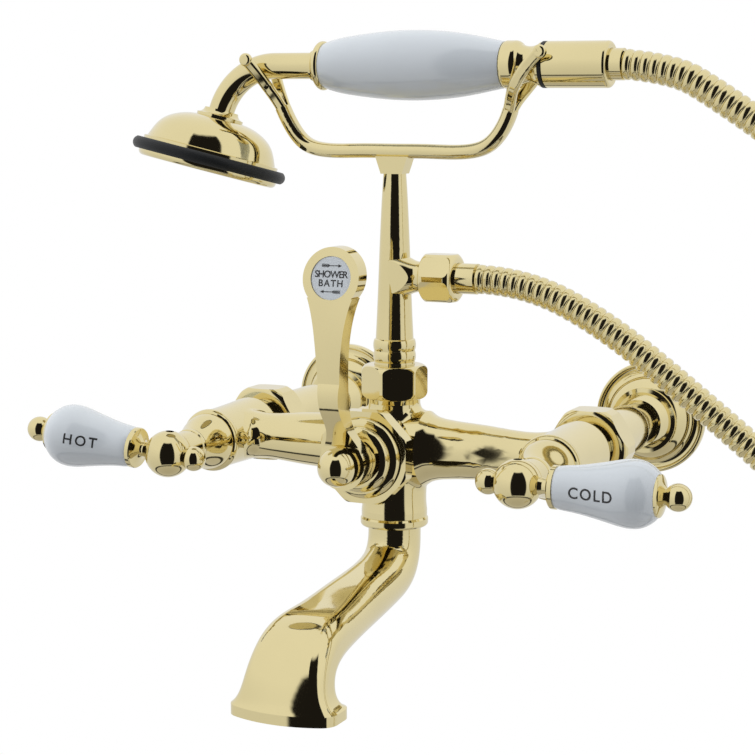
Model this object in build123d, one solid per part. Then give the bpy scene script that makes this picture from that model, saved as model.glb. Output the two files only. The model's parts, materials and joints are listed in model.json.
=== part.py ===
"""Wall mounted bath faucet with a hand shower on a forked cradle.

Frame: millimetres, +Z up, the wall's face is the plane Y = 0 and the faucet stands out along -Y.
The origin lies on the wall midway between the two supplies; hot is at -X and cold at +X.
Reach means a distance from the wall along -Y.
"""
import os
from math import cos, radians, sin, tan

from build123d import *

os.makedirs("parts", exist_ok=True)

# ---------------------------------------------------------------- fits
RUN_GAP = 0.3                  # between pieces that move past each other
STEM_FIT = 0.08                # radial clearance of a stem in its bore
SLIP_FIT = 0.1                 # radial clearance of a piece that slips over or into another

# ---------------------------------------------------------------- layout
SUPPLY_SPREAD = 177.8          # 7 in between the supply pipes
BODY_REACH = 137.3             # wall to the axis of the cross body

# supply arms and wall flanges
THREAD_R = 10.48               # half-inch pipe thread, 20.96 mm across
THREAD_IN_WALL = 14.0
THREAD_OUT = 2.0               # that the thread runs out past the wall's face
NIPPLE_R = 10.8
ARM_R = 12.4
ARM_START = 44.0               # reach where the arm swells from its nipple
ARM_BORE_R = 7.5
ARM_COLLAR_R = 15.3            # threaded end inside the union nut
FLANGE_R = 29.6
FLANGE_DEPTH = 29.0
FLANGE_WALL = 1.4

# union nuts between arms and body
NUT_REACH = 92.0
NUT_LENGTH = 17.5
NUT_ACROSS_FLATS = 37.0
NUT_CORNER_R = 20.4
NUT_WEB = 3.5
TAIL_R = 13.0
TAIL_FLANGE_LENGTH = 3.0
UNION_WASHER_LENGTH = 2.0

# cross body
BARREL_R = 14.8
BARREL_FRONT = 22.3            # body axis to the barrel's front face
BARREL_BACK = 19.0             # body axis back to the barrel's shoulder
CARTRIDGE_BORE_R = 11.0
CROSSBAR_R = (18.1, 16.2, 14.6, 13.6, 12.3, 11.4, 11.9, 13.2)
CROSSBAR_X = (17.6, 20.6, 27.0, 40.0, 56.0, 70.0, 77.0, 83.0)
COLUMN_HOLLOW_R = 4.0         # rounding of the hollow between column and crossbar
BARREL_HOLLOW_R = 6.0         # rounding of the hollow between crossbar and barrel
WATERWAY_R = 5.5
RISER_SEAT_Z = 28.5
RISER_SEAT_R = 12.6
SPOUT_SEAT_Z = -34.4
SPOUT_SEAT_R = 16.1
BOSS_R = 19.6
BOSS_LENGTH = 28.7             # body axis to the boss's front face
DRUM_BORE_R = 11.0

# valve handles
BONNET_FLANGE_R = 15.5
BONNET_FLANGE_LENGTH = 4.6
BONNET_LENGTH = 22.0           # with its flange
STEM_R = 4.0
HUB_BALL_R = 11.2
HUB_BALL_REACH = 203.4
HUB_SKIRT_R = 8.8
COUNTER_BALL_R = 5.9
COUNTER_BALL_OUT = 13.9
LEVER_NECK_R = 3.6
LEVER_FERRULE_R = 9.8
LEVER_FERRULE_OUT = 16.3       # hub centre to the ferrule's inner face
PORCELAIN_OUT = 18.7
PORCELAIN_LENGTH = 45.8
PORCELAIN_BORE_R = 3.2
LEVER_ROD_R = 2.6
FINIAL_NECK_R = 3.2
FINIAL_BALL_R = 6.1
FINIAL_BALL_OUT = 8.5         # porcelain's end to the ball's centre
SET_SCREW_R = 2.0
SET_SCREW_LENGTH = 5.0
HOT_LEVER_LIFT = 5.5           # degrees that the hot lever rests above level

# diverter
OCTAGON_ACROSS_FLATS = 44.0
OCTAGON_LENGTH = 8.0
DIVERTER_BONNET_LENGTH = 18.4  # with its octagon
DIVERTER_STEM_R = 4.5
LEVER_HUB_R = 11.6
LEVER_HUB_LENGTH = 13.0
LEVER_HEAD_Z = 88.0            # stem axis to the centre of the lever's head
LEVER_HEAD_R = 14.0
LEVER_FACE_REACH = 211.0
LEVER_DEPTH = 9.0
BUTTON_R = 9.9
BUTTON_DEPTH = 3.0
CAP_R = 9.1
CAP_LENGTH = 14.5

# spout
SPOUT_COLLAR_R = 16.6
SPOUT_COLLAR_LENGTH = 5.0
SPOUT_TAIL_R = 9.5
SPOUT_TAIL_WALL = 2.0
SPOUT_TAIL_RISE = 13.0
SPOUT_SEAL_LENGTH = 1.5
SPOUT_SEAL_R = 13.0
SPOUT_WALL = 2.4
SPOUT_LIP_LENGTH = 4.7

# riser and cradle
RISER_NUT_ACROSS_FLATS = 28.6
RISER_NUT_CORNER_R = 16.1
RISER_NUT_Z = 23.6
RISER_NUT_LENGTH = 16.6
RISER_FOOT_R = 9.9
RISER_FLANGE_LENGTH = 3.0
RISER_WASHER_LENGTH = 1.6
RISER_BORE_R = 4.0
BEAD_R = 10.4
BEAD_LENGTH = 5.4
RISER_TOP_R = 5.5
RISER_TOP_Z = 132.4
OUTLET_Z = 83.2
OUTLET_R = 7.9
BAR_Z = 143.2
BAR_HEIGHT = 7.0
BAR_DEPTH = 8.4
BAR_CORNER = 3.2
BAR_HALF = 36.0                # straight part of the bar, each way
CRADLE_PIN_R = 2.6
CRADLE_PIN_LENGTH = 5.0
TINE_HEIGHT = 5.6
TINE_THICKNESS = 3.6
TINE_PAD_R = 3.2

# hose and its fittings
HOSE_R = 7.0
FERRULE_R = 7.3
FERRULE_HEAD_R = 8.1
FERRULE_HEAD_LENGTH = 4.0
FERRULE_BORE_R = 4.0
HOSE_WASHER_LENGTH = 1.5
HOSE_NUT_START = 15.8          # from the riser's axis
HOSE_NUT_LENGTH = 17.5
HOSE_NUT_ACROSS_FLATS = 22.6
HOSE_NUT_CORNER_R = 12.4
HOSE_NUT_WEB = 5.0
OUTLET_FERRULE_OUT = 9.8       # that the ferrule stands out of its nut

# hand shower
HANDSET_Z = 183.7
HANDSET_ROLL = 9.0             # degrees that the head swings forward about the grip
GRIP_START = -36.5
GRIP_LENGTH = 92.5
GRIP_BORE_R = 5.3
GRIP_TUBE_R = 4.8
GRIP_TUBE_BORE_R = 3.8
FRONT_COLLAR_R = 11.8
FRONT_COLLAR_LENGTH = 4.6
REAR_COLLAR_R = 11.2
REAR_COLLAR_LENGTH = 19.2
REAR_NECK_R = 8.6
REAR_TAIL_R = 8.1
COLLAR_HOLE = 3.0             # depth that the grip's tube enters each collar
NECK_TUBE_R = 6.35
NECK_TUBE_BORE_R = 5.0
NECK_BEND_R = 29.0
NECK_CORNER_OUT = -87.7        # where the grip's axis meets the head's axis
HEAD_TILT = 12.0               # degrees of the head's axis from plumb
HEAD_ALONG = 47.6              # from that corner to the rubber ring's centre
RUBBER_RING_R = 38.7
RUBBER_RING_LENGTH = 5.8
DOME_FLANGE_R = 34.0
DOME_SPIGOT_R = 30.0
DOME_HEIGHT = 25.2             # ring's centre to the top of the dome's socket
DOME_SOCKET_DEPTH = 6.0
SPRAY_PLATE_R = 34.9
SPRAY_PLATE_LENGTH = 2.8
CONNECTOR_R = 10.75
CONNECTOR_LENGTH = 31.0
CONNECTOR_WEB = 9.0
CONNECTOR_WASHER_LENGTH = 1.7
HANDSET_FERRULE_OUT = 5.9      # that the ferrule stands out of the connector


# ---------------------------------------------------------------- helpers
def line(*points):
    """Straight runs through (radius, height) points."""
    return Polyline(*[(r, 0, h) for r, h in points])


def arc(start, middle, end):
    """A round stretch through three (radius, height) points."""
    return ThreePointArc(*[(r, 0, h) for r, h in (start, middle, end)])


def curve(*points):
    """A smooth stretch through (radius, height) points."""
    return Spline(*[(r, 0, h) for r, h in points])


def turned(*outline):
    """Turn a closed outline of lines, arcs and curves about Z."""
    edges = [edge for run in outline for edge in run.edges()]
    return revolve(make_face(edges), axis=Axis.Z)


def tube(outer_r, inner_r, low, high):
    """A plain bush about Z."""
    return turned(line((inner_r, low), (outer_r, low), (outer_r, high), (inner_r, high), (inner_r, low)))


def rod(r, low, high):
    """A plain rod about Z."""
    return Pos(0, 0, (low + high) / 2) * Cylinder(r, high - low)


def ball(r, height):
    """A ball on Z."""
    return Pos(0, 0, height) * Sphere(r)


def polygon(sides, across_flats, turn):
    """A regular polygon with one flat facing the given number of degrees from X."""
    corner_r = across_flats / 2 / cos(radians(180 / sides))
    angles = [radians(turn + (i + 0.5) * 360 / sides) for i in range(sides + 1)]
    return make_face(Polyline(*[(corner_r * cos(a), corner_r * sin(a)) for a in angles]).edges())


def outward(x=0.0, z=0.0):
    """A plane on the wall whose Z runs straight out from the wall and whose Y runs up."""
    return Plane(origin=(x, 0, z), x_dir=(1, 0, 0), z_dir=(0, -1, 0))


def upright(z=0.0):
    """A plane on the body's vertical axis."""
    return Plane(origin=(0, -BODY_REACH, z), x_dir=(1, 0, 0), z_dir=(0, 0, 1))


def sideways(x, z):
    """A plane over the body whose Z runs along +X."""
    return Plane(origin=(x, -BODY_REACH, z), x_dir=(0, 1, 0), z_dir=(1, 0, 0))


def turned_corners(corner_r, length, shoulder):
    """The round bar that a nut's corners are cut down to, eased at both ends."""
    eased = corner_r - shoulder
    middle = corner_r - 0.3 * shoulder
    return turned(
        line((0, 0), (eased, 0)),
        arc((eased, 0), (middle, 0.3 * shoulder), (corner_r, shoulder)),
        line((corner_r, shoulder), (corner_r, length - shoulder)),
        arc((corner_r, length - shoulder), (middle, length - 0.3 * shoulder), (eased, length)),
        line((eased, length), (0, length), (0, 0)),
    )


def hex_nut(across_flats, corner_r, length, turn):
    """A blank hexagon nut about Z."""
    return extrude(polygon(6, across_flats, turn), length) & turned_corners(corner_r, length, length * 0.2)


def ferrule(length):
    """Hose ferrule: a head that its nut pulls on, and a sleeve."""
    head = tube(FERRULE_HEAD_R, FERRULE_BORE_R, 0, FERRULE_HEAD_LENGTH)
    return head + tube(FERRULE_R, FERRULE_BORE_R, FERRULE_HEAD_LENGTH, length)


# ---------------------------------------------------------------- supplies
SUPPLY_X = SUPPLY_SPREAD / 2
BARREL_BACK_REACH = BODY_REACH - BARREL_BACK
BARREL_FRONT_REACH = BODY_REACH + BARREL_FRONT
NUT_FRONT_REACH = NUT_REACH + NUT_LENGTH
TAIL_REACH = NUT_FRONT_REACH - NUT_WEB - TAIL_FLANGE_LENGTH
WASHER_REACH = TAIL_REACH - UNION_WASHER_LENGTH


def supply_arm(x):
    """Arm with a pipe thread into the wall and a wider thread for the union nut."""
    low = -THREAD_IN_WALL
    outside = turned(
        line((0, low), (THREAD_R - 1, low), (THREAD_R, low + 1), (THREAD_R, THREAD_OUT)),
        line((THREAD_R, THREAD_OUT), (NIPPLE_R, THREAD_OUT), (NIPPLE_R, ARM_START)),
        arc((NIPPLE_R, ARM_START), (ARM_R - 0.5, ARM_START + 0.6), (ARM_R, ARM_START + 2.4)),
        line((ARM_R, ARM_START + 2.4), (ARM_R, NUT_REACH + 1), (ARM_COLLAR_R, NUT_REACH + 1)),
        line((ARM_COLLAR_R, NUT_REACH + 1), (ARM_COLLAR_R, WASHER_REACH), (0, WASHER_REACH), (0, low)),
    )
    return outward(x) * (outside - rod(ARM_BORE_R, low - 1, WASHER_REACH + 1))


def escutcheon(x):
    """Pressed wall flange: beaded rim, shallow dish, ogee, and a neck around the nipple."""
    hole_r = NIPPLE_R + SLIP_FIT
    wall = FLANGE_WALL
    top = FLANGE_DEPTH
    rim_r = FLANGE_R
    shell = turned(
        line((rim_r - wall, 0), (rim_r, 0), (rim_r, 2.6)),
        arc((rim_r, 2.6), (rim_r - 1.2, 4.1), (rim_r - 2.6, 3.4)),
        curve((rim_r - 2.6, 3.4), (rim_r - 5.0, 3.5), (rim_r - 7.4, 5.2)),
        curve((rim_r - 7.4, 5.2), (rim_r - 8.6, 9.2), (rim_r - 12.4, 13.6)),
        line((rim_r - 12.4, 13.6), (rim_r - 12.4, 15.4), (rim_r - 14.6, 15.8)),
        curve((rim_r - 14.6, 15.8), (hole_r + 2.7, 20.5), (hole_r + wall, 25.0)),
        line((hole_r + wall, 25.0), (hole_r + wall, top), (hole_r, top), (hole_r, 21.0)),
        curve((hole_r, 21.0), (rim_r - 17.0, 15.0), (rim_r - 14.2, 12.6)),
        curve((rim_r - 14.2, 12.6), (rim_r - 10.2, 8.2), (rim_r - 8.6, 3.8)),
        line((rim_r - 8.6, 3.8), (rim_r - 5.6, 2.0), (rim_r - wall, 2.0), (rim_r - wall, 0)),
    )
    return outward(x) * shell


def union_nut(x):
    """Hexagon nut, flat side up, that pulls the body's tail flange onto the arm."""
    nut = hex_nut(NUT_ACROSS_FLATS, NUT_CORNER_R, NUT_LENGTH, 90)
    nut -= rod(TAIL_R + SLIP_FIT, -1, NUT_LENGTH + 1)
    nut -= rod(ARM_COLLAR_R + SLIP_FIT, -1, NUT_LENGTH - NUT_WEB)
    return outward(x) * Pos(0, 0, NUT_REACH) * nut


def union_washer(x):
    """Flat seal between the arm and the body's tail."""
    return outward(x) * tube(ARM_COLLAR_R, ARM_BORE_R, WASHER_REACH, TAIL_REACH)


# ---------------------------------------------------------------- cross body
CARTRIDGE_SEAT_REACH = BARREL_BACK_REACH + 3.0
BOSS_REACH = BODY_REACH + BOSS_LENGTH
DRUM_SEAT_REACH = BODY_REACH - 12.0


def barrel():
    """One valve barrel with its tail, as seen along its own axis."""
    swell_r = BARREL_R + 0.9
    flange_front = TAIL_REACH + TAIL_FLANGE_LENGTH
    back = BARREL_BACK_REACH
    return turned(
        line((0, TAIL_REACH), (ARM_COLLAR_R, TAIL_REACH), (ARM_COLLAR_R, flange_front), (TAIL_R, flange_front)),
        line((TAIL_R, flange_front), (TAIL_R, back - 2.0)),
        arc((TAIL_R, back - 2.0), (swell_r - 0.6, back), (swell_r, back + 3.0)),
        curve((swell_r, back + 3.0), (BARREL_R + 0.3, BODY_REACH), (BARREL_R - 0.1, BARREL_FRONT_REACH)),
        line((BARREL_R - 0.1, BARREL_FRONT_REACH), (0, BARREL_FRONT_REACH), (0, TAIL_REACH)),
    )


def crossbar():
    """The bar between the two barrels, waisted towards them."""
    right = list(zip(CROSSBAR_R, CROSSBAR_X))
    left = [(r, -x) for r, x in reversed(right)]
    end = CROSSBAR_X[-1]
    bar = turned(
        line((0, -end), (CROSSBAR_R[-1], -end)),
        curve(*left),
        line(left[-1], right[0]),
        curve(*right),
        line((CROSSBAR_R[-1], end), (0, end), (0, -end)),
    )
    return sideways(0, 0) * bar


def column():
    """The upright part of the body, from the spout's seat to the riser's seat."""
    return upright() * turned(
        line((0, SPOUT_SEAT_Z), (SPOUT_SEAT_R, SPOUT_SEAT_Z), (SPOUT_SEAT_R, SPOUT_SEAT_Z + 3.0)),
        curve(
            (SPOUT_SEAT_R, SPOUT_SEAT_Z + 3.0),
            (SPOUT_SEAT_R - 0.3, SPOUT_SEAT_Z * 0.6),
            (SPOUT_SEAT_R + 1.2, -6.0),
            (SPOUT_SEAT_R + 0.9, 6.0),
            (RISER_SEAT_R + 1.0, 16.0),
            (RISER_SEAT_R, 21.5),
        ),
        line((RISER_SEAT_R, 21.5), (RISER_SEAT_R, RISER_SEAT_Z), (0, RISER_SEAT_Z), (0, SPOUT_SEAT_Z)),
    )


def boss():
    """The diverter boss, flaring out to the octagon."""
    back = BODY_REACH - 8
    return outward() * turned(
        line((0, back), (SPOUT_SEAT_R, back), (SPOUT_SEAT_R, BODY_REACH)),
        curve((SPOUT_SEAT_R, BODY_REACH), (SPOUT_SEAT_R + 0.6, BODY_REACH + 14), (BOSS_R, BOSS_REACH - 1.5)),
        line((BOSS_R, BOSS_REACH - 1.5), (BOSS_R, BOSS_REACH), (0, BOSS_REACH), (0, back)),
    )


def hollow(edge):
    """Whether an edge is a curve where two turned shapes meet, and not a seam in the body's middle plane."""
    if edge.geom_type in (GeomType.LINE, GeomType.CIRCLE):
        return False
    return max(abs(edge.position_at(part).Y + BODY_REACH) for part in (0.2, 0.5, 0.8)) > 0.5


def main_body():
    """The cast cross, bored for the valves, the diverter, the riser and the spout."""
    body = crossbar() + column()
    meeting = [edge for edge in body.edges() if hollow(edge) and 5 < abs(edge.center().X) < 24]
    body = fillet(meeting, COLUMN_HOLLOW_R) + boss()
    for x in (-SUPPLY_X, SUPPLY_X):
        body += outward(x) * barrel()
    meeting = [edge for edge in body.edges() if hollow(edge) and 70 < abs(edge.center().X) < 90]
    body = fillet(meeting, BARREL_HOLLOW_R)
    for x in (-SUPPLY_X, SUPPLY_X):
        body -= outward(x) * rod(ARM_BORE_R, TAIL_REACH - 1, CARTRIDGE_SEAT_REACH + 1)
        body -= outward(x) * rod(CARTRIDGE_BORE_R, CARTRIDGE_SEAT_REACH, BARREL_FRONT_REACH + 1)
    body -= sideways(0, 0) * rod(WATERWAY_R, -SUPPLY_X, SUPPLY_X)
    body -= outward() * rod(DRUM_BORE_R, DRUM_SEAT_REACH, BOSS_REACH + 1)
    body -= upright() * rod(WATERWAY_R, SPOUT_SEAT_Z, RISER_SEAT_Z + 1)
    body -= upright() * rod(SPOUT_TAIL_R + SLIP_FIT, SPOUT_SEAT_Z - 1, SPOUT_SEAT_Z + SPOUT_TAIL_RISE)
    return body


# ---------------------------------------------------------------- valves
STEM_START = CARTRIDGE_SEAT_REACH + 5.0
CARTRIDGE_FRONT = BARREL_FRONT_REACH - 8.0
BONNET_NOSE = BARREL_FRONT_REACH + BONNET_LENGTH
HUB_BACK = BONNET_NOSE + RUN_GAP + 0.1
STEM_END = HUB_BALL_REACH + 3.5
PORCELAIN_END = PORCELAIN_OUT + PORCELAIN_LENGTH
ROD_START = STEM_R + 1.2
ROD_END = PORCELAIN_END + 5.0


def handle_plane(side):
    """Plane at a hub's centre whose Z runs out along the lever and whose X runs to the front."""
    lift = radians(HOT_LEVER_LIFT) if side < 0 else 0.0
    origin = (side * SUPPLY_X, -HUB_BALL_REACH, 0)
    return Plane(origin=origin, x_dir=(0, -1, 0), z_dir=(side * cos(lift), 0, sin(lift)))


def cartridge(x):
    """Valve cartridge, with the stem's bore through its front end and a ported sleeve behind."""
    r = CARTRIDGE_BORE_R - SLIP_FIT
    body = tube(r, STEM_R + STEM_FIT, CARTRIDGE_SEAT_REACH, CARTRIDGE_FRONT)
    body -= rod(r - 3.0, CARTRIDGE_SEAT_REACH - 1, STEM_START - RUN_GAP)
    body -= Pos(0, 0, BODY_REACH) * Rot(0, 90, 0) * Cylinder(3.0, 3 * r)
    return outward(x) * body


def bonnet(x):
    """Bell shaped bonnet that clamps the cartridge and carries the stem."""
    start = BARREL_FRONT_REACH
    spigot_r = CARTRIDGE_BORE_R - SLIP_FIT
    bead = BONNET_FLANGE_R
    bell = turned(
        line((0, CARTRIDGE_FRONT), (spigot_r, CARTRIDGE_FRONT), (spigot_r, start), (bead - 0.6, start)),
        arc((bead - 0.6, start), (bead, start + 2.0), (bead - 0.9, start + 4.0)),
        line((bead - 0.9, start + 4.0), (bead - 1.7, start + BONNET_FLANGE_LENGTH)),
        curve(
            (bead - 1.7, start + BONNET_FLANGE_LENGTH),
            (bead - 2.4, start + 9.0),
            (bead - 4.4, start + 14.5),
            (HUB_SKIRT_R + 0.5, BONNET_NOSE - 2.4),
            (HUB_SKIRT_R - 0.1, BONNET_NOSE),
        ),
        line((HUB_SKIRT_R - 0.1, BONNET_NOSE), (0, BONNET_NOSE), (0, CARTRIDGE_FRONT)),
    )
    bell -= rod(STEM_R + 0.4, CARTRIDGE_FRONT - 1, BONNET_NOSE + 1)
    bell -= rod(7.0, CARTRIDGE_FRONT - 1, start + 6)
    return outward(x) * bell


def stem(x):
    """Turning stem that joins the cartridge to the handle."""
    return outward(x) * rod(STEM_R, STEM_START, STEM_END)


def upward(side, shape):
    """Stand a shape up on a hub, square to its lever."""
    return handle_plane(side) * (Rot(90 * side, 0, 0) * shape)


def hub(side):
    """Handle hub cast in one: ball, skirt, counter ball, neck and the lever's ferrule."""
    skirt = turned(
        line((0, HUB_BACK), (HUB_SKIRT_R, HUB_BACK), (HUB_SKIRT_R, HUB_BACK + 1.6)),
        line((HUB_SKIRT_R, HUB_BACK + 1.6), (HUB_SKIRT_R - 0.5, HUB_BACK + 2.2)),
        line((HUB_SKIRT_R - 0.5, HUB_BACK + 2.2), (HUB_SKIRT_R - 0.2, HUB_BALL_REACH)),
        line((HUB_SKIRT_R - 0.2, HUB_BALL_REACH), (0, HUB_BALL_REACH), (0, HUB_BACK)),
    )
    rim = LEVER_FERRULE_R
    neck = turned(
        line((0, 8.0), (LEVER_NECK_R + 1.2, 8.0), (LEVER_NECK_R, 12.4)),
        line((LEVER_NECK_R, 12.4), (LEVER_NECK_R, LEVER_FERRULE_OUT - 2.2)),
        curve(
            (LEVER_NECK_R, LEVER_FERRULE_OUT - 2.2),
            (LEVER_NECK_R + 2.0, LEVER_FERRULE_OUT - 1.0),
            (rim - 0.4, LEVER_FERRULE_OUT),
        ),
        line((rim - 0.4, LEVER_FERRULE_OUT), (rim, LEVER_FERRULE_OUT + 0.5), (rim, PORCELAIN_OUT)),
        line((rim, PORCELAIN_OUT), (0, PORCELAIN_OUT), (0, 8.0)),
    )
    place = handle_plane(side)
    body = outward(side * SUPPLY_X) * skirt
    body += place * (Sphere(HUB_BALL_R) + ball(COUNTER_BALL_R, -COUNTER_BALL_OUT) + neck)
    body += place * rod(LEVER_NECK_R, -COUNTER_BALL_OUT, 0)
    body -= outward(side * SUPPLY_X) * rod(STEM_R, HUB_BACK - 1, STEM_END)
    body -= place * rod(LEVER_ROD_R, ROD_START, PORCELAIN_OUT + 1)
    return body - upward(side, rod(SET_SCREW_R, 0, HUB_BALL_R + 1))


def set_screw(side):
    """Socket set screw that locks the hub to its stem."""
    end = STEM_R + SET_SCREW_LENGTH
    screw = rod(SET_SCREW_R, STEM_R, end)
    screw -= Pos(0, 0, end - 2.2) * extrude(polygon(6, 2.0, 0), 2.4)
    return upward(side, screw)


def lever_rod(side):
    """Threaded rod that ties the finial to the hub through the porcelain."""
    return handle_plane(side) * rod(LEVER_ROD_R, ROD_START, ROD_END)


def porcelain_lever(side):
    """Glazed lever handle, swelling towards its end."""
    start, end = PORCELAIN_OUT, PORCELAIN_END
    grip = turned(
        line((PORCELAIN_BORE_R, start), (9.3, start)),
        curve(
            (9.3, start),
            (9.9, start + 3.0),
            (10.4, start + 7.5),
            (12.0, start + 17.0),
            (13.7, start + 25.0),
            (15.1, start + 33.0),
            (14.5, start + 39.0),
            (11.9, start + 43.6),
            (9.7, end),
        ),
        line((9.7, end), (PORCELAIN_BORE_R, end), (PORCELAIN_BORE_R, start)),
    )
    return handle_plane(side) * grip


def finial(side):
    """End cap and ball that close the lever."""
    start = PORCELAIN_END
    centre = start + FINIAL_BALL_OUT
    cap = turned(
        line((0, start), (9.4, start), (9.4, start + 0.9)),
        curve((9.4, start + 0.9), (6.3, start + 2.2), (3.9, start + 3.4), (FINIAL_NECK_R, start + 4.6)),
        line((FINIAL_NECK_R, start + 4.6), (0, start + 4.6), (0, start)),
    )
    body = cap + rod(FINIAL_NECK_R, start, centre) + ball(FINIAL_BALL_R, centre)
    body -= rod(LEVER_ROD_R, start - 1, ROD_END)
    return handle_plane(side) * body


# ---------------------------------------------------------------- diverter
OCTAGON_REACH = BOSS_REACH + OCTAGON_LENGTH
DIVERTER_NOSE = BOSS_REACH + DIVERTER_BONNET_LENGTH
LEVER_BACK = DIVERTER_NOSE + RUN_GAP
LEVER_HUB_FRONT = LEVER_BACK + LEVER_HUB_LENGTH
DIVERTER_STEM_END = LEVER_HUB_FRONT + CAP_LENGTH - 6.0
DRUM_FRONT = BOSS_REACH - 8.0


def diverter_bonnet():
    """Octagon plate with two domed steps, closing the boss around the diverter's stem."""
    plate = extrude(polygon(8, OCTAGON_ACROSS_FLATS, 0), OCTAGON_LENGTH)
    plate &= turned_corners(OCTAGON_ACROSS_FLATS / 2 + 1.9, OCTAGON_LENGTH, 1.6)
    start = OCTAGON_REACH
    dome = turned(
        line((0, start), (19.6, start)),
        curve((19.6, start), (18.9, start + 2.2), (16.8, start + 3.6)),
        line((16.8, start + 3.6), (15.9, start + 3.8)),
        curve((15.9, start + 3.8), (15.2, start + 6.4), (12.4, start + 8.0)),
        line((12.4, start + 8.0), (10.6, start + 8.2), (10.6, DIVERTER_NOSE), (0, DIVERTER_NOSE), (0, start)),
    )
    spigot = rod(DRUM_BORE_R - SLIP_FIT, DRUM_FRONT + RUN_GAP, BOSS_REACH)
    body = Pos(0, 0, BOSS_REACH) * plate + dome + spigot
    return outward() * (body - rod(DIVERTER_STEM_R + STEM_FIT, DRUM_FRONT - 1, DIVERTER_NOSE + 1))


def diverter_drum():
    """Ported drum that sends the water up to the riser or down to the spout."""
    drum = rod(DRUM_BORE_R - RUN_GAP, DRUM_SEAT_REACH + RUN_GAP, DRUM_FRONT)
    drum -= Pos(0, 0, BODY_REACH) * Rot(90, 0, 0) * Cylinder(WATERWAY_R, 60)
    return outward() * drum


def diverter_stem():
    """Stem between the drum and the diverter lever."""
    return outward() * rod(DIVERTER_STEM_R, DRUM_FRONT, DIVERTER_STEM_END)


def lever_silhouette():
    """The lever's front outline, pushed through its whole depth."""
    right = [(11.6, 0), (8.6, 9), (5.4, 17), (4.8, 26), (5.4, 40), (6.9, 60), (8.6, 70), (11.3, 79)]
    left = [(-x, z) for x, z in reversed(right)]
    runs = (Spline(*right), Line(right[-1], left[0]), Spline(*left), Line(left[-1], right[0]))
    front = make_face([edge for run in runs for edge in run.edges()])
    front += Pos(0, LEVER_HEAD_Z) * Circle(LEVER_HEAD_R)
    front += Circle(LEVER_HUB_R)
    plane = Plane(origin=(0, -LEVER_BACK, 0), x_dir=(1, 0, 0), z_dir=(0, -1, 0))
    return plane * extrude(front, 40)


def lever_side():
    """The lever's side outline, pushed across its whole width."""
    face, depth = LEVER_FACE_REACH, LEVER_DEPTH
    low, top = -LEVER_HUB_R - 1, LEVER_HEAD_Z + LEVER_HEAD_R + 1
    runs = (
        Polyline((LEVER_BACK, 4), (LEVER_BACK, low), (LEVER_HUB_FRONT, low), (LEVER_HUB_FRONT, 9)),
        Spline((LEVER_HUB_FRONT, 9), (LEVER_HUB_FRONT + 4, 16), (face - 1.5, 26), (face, 40)),
        Spline((face, 40), (face + 0.6, 58), (face - 1.6, 82), (face - 5.4, top)),
        Line((face - 5.4, top), (face - 5.4 - depth, top)),
        Spline(
            (face - 5.4 - depth, top),
            (face - 1.2 - depth, 82),
            (face + 0.6 - depth, 60),
            (face - 0.6 - depth, 40),
            (face - 5.0 - depth, 22),
            (LEVER_BACK, 4),
        ),
    )
    side = make_face([edge for run in runs for edge in run.edges()])
    plane = Plane(origin=(0, 0, 0), x_dir=(0, -1, 0), z_dir=(-1, 0, 0))
    return plane * extrude(side, 40, both=True)


def diverter_lever():
    """Upright cast lever: where its front outline and its side outline meet."""
    lever = lever_silhouette() & lever_side()
    lever -= outward() * rod(DIVERTER_STEM_R, LEVER_BACK - 1, LEVER_HUB_FRONT + 1)
    return lever - button_plane() * rod(BUTTON_R + SLIP_FIT, -BUTTON_DEPTH, 5.0)


def button_plane():
    """Plane on the button's face, square to the lever's head."""
    return Plane(origin=(0, -LEVER_FACE_REACH + 3.0, LEVER_HEAD_Z), x_dir=(1, 0, 0), z_dir=(0, -1, 0.16))


def diverter_button():
    """Porcelain button that names the two positions."""
    return button_plane() * rod(BUTTON_R, -BUTTON_DEPTH, 0.0)


def diverter_cap():
    """Acorn nut that holds the lever on its stem."""
    start = LEVER_HUB_FRONT
    r = CAP_R
    body = turned(
        line((0, start), (r - 0.8, start), (r, start + 1.0), (r, start + 5.0)),
        curve((r, start + 5.0), (r - 0.9, start + 8.6), (r - 3.6, start + 12.4), (0, start + CAP_LENGTH)),
        line((0, start + CAP_LENGTH), (0, start)),
    )
    return outward() * (body - rod(DIVERTER_STEM_R, start - 1, DIVERTER_STEM_END))


# ---------------------------------------------------------------- spout
SPOUT_TOP_Z = SPOUT_SEAT_Z - SPOUT_COLLAR_LENGTH
SPOUT_STATIONS = (
    # reach, height, degrees of the flow below level, width, depth, corner radius, bow of the front
    (BODY_REACH - 0.3, SPOUT_TOP_Z, 90.0, 25.6, 25.6, 12.4, 0.3),
    (BODY_REACH + 0.4, -48.5, 82.0, 25.8, 25.8, 12.5, 0.3),
    (BODY_REACH + 6.5, -58.6, 42.0, 27.0, 26.8, 12.9, 0.4),
    (BODY_REACH + 22.0, -64.0, 8.0, 28.4, 24.8, 12.2, 0.6),
    (BODY_REACH + 50.0, -67.5, 8.0, 31.0, 22.8, 10.8, 1.0),
    (BODY_REACH + 80.0, -70.8, 12.0, 34.6, 21.2, 9.4, 1.4),
    (BODY_REACH + 103.4, -75.6, 38.0, 37.6, 21.8, 8.2, 1.8),
    (BODY_REACH + 114.0, -85.8, 72.0, 40.0, 21.4, 7.4, 2.4),
    (BODY_REACH + 116.7, -94.0, 84.0, 44.4, 23.0, 7.2, 4.0),
    (BODY_REACH + 117.1, -98.4, 90.0, 52.0, 27.4, 8.0, 6.5),
)


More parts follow.
